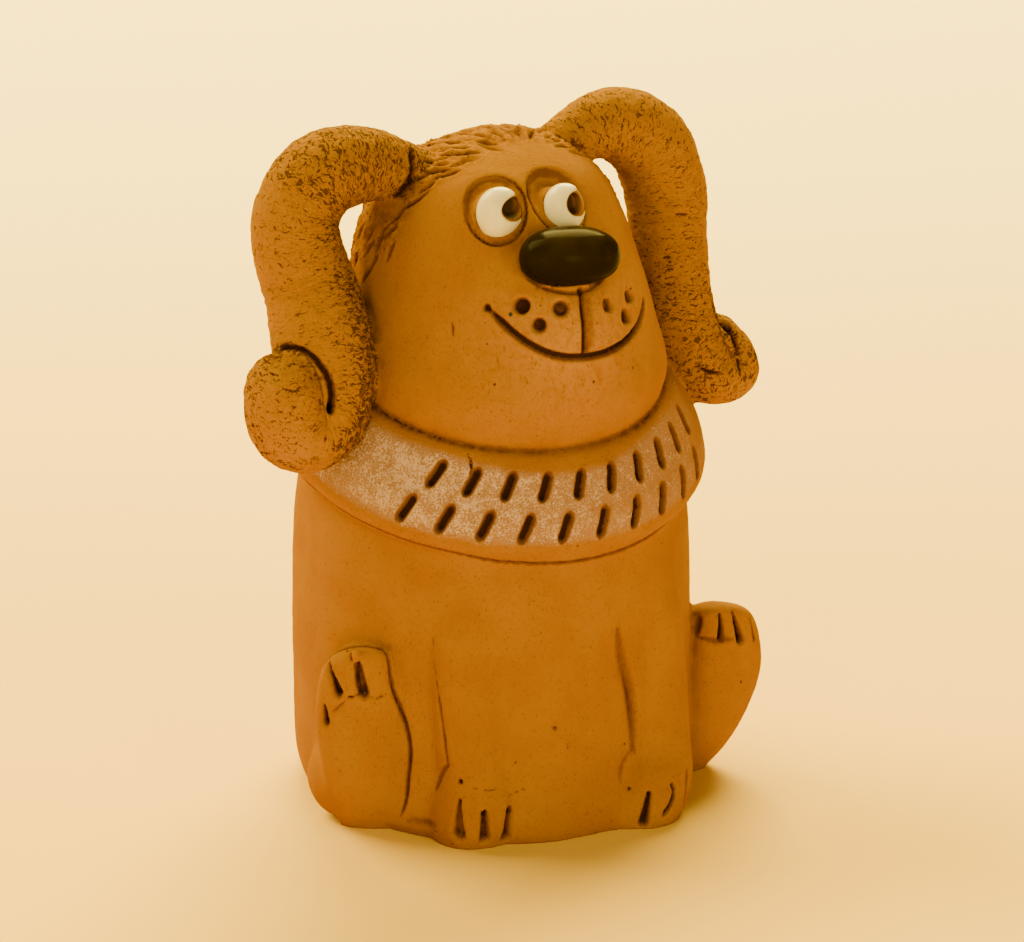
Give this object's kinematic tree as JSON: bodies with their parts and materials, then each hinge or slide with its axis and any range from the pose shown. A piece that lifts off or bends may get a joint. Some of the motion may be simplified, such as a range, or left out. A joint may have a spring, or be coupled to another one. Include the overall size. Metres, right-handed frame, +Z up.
{
  "type": "clay whistle",
  "caption": "Hollow fired clay whistle modelled as a seated dog with rolled hanging ears, a wide collar, a glazed nose and a tail mouthpiece.",
  "frame": {"origin": "middle of the flat underside, on the trunk's upright axis", "axes": "+Z up through the head, the dog faces -Y with its tail along +Y, its own left side is +X"},
  "size_m": [0.0706, 0.0657, 0.0868],
  "materials": {
    "fired_clay": "matt, washed with a darker brown in its grooves",
    "nose_glaze": "glossy dark brown glaze",
    "eye_glaze": "glossy warm white glaze"
  },
  "bodies": {
    "root": {"clay_body": "fired_clay", "nose": "nose_glaze", "eye_right": "eye_glaze", "eye_left": "eye_glaze"}
  },
  "joints": []
}
